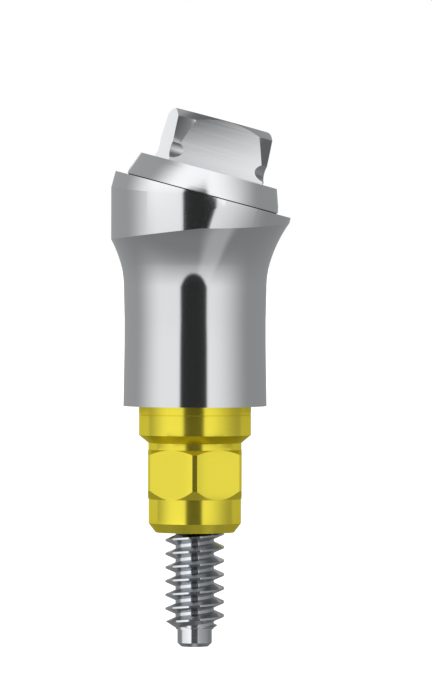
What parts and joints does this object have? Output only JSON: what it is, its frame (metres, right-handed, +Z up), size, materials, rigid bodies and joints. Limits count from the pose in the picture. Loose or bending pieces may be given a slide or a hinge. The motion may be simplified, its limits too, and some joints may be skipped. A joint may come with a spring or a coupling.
{
  "type": "dental abutment",
  "caption": "Angled dental abutment: a flared cuff with a leaning four-sided post, a hexed connection sleeve below it and a captive fixing screw through both.",
  "frame": {"origin": "centre of the seat under the cuff, where the abutment rests on the implant", "axes": "+Z up along the implant axis, from the screw's tip towards the post; the head leans towards +X"},
  "size_m": [0.0047, 0.0048, 0.0144],
  "materials": {
    "body_titanium": "fine turned satin metal",
    "connection_gold": "yellow anodised satin metal",
    "screw_titanium": "bright machined metal"
  },
  "bodies": {
    "abutment": {"abutment_body": "body_titanium", "implant_connection": "connection_gold"},
    "screw": {"abutment_screw": "screw_titanium"}
  },
  "joints": [
    {"name": "screw_turn", "type": "hinge", "parent": "abutment", "child": "screw", "pos_m": [0, 0, 0], "axis": [0, 0, 1], "continuous": true}
  ]
}
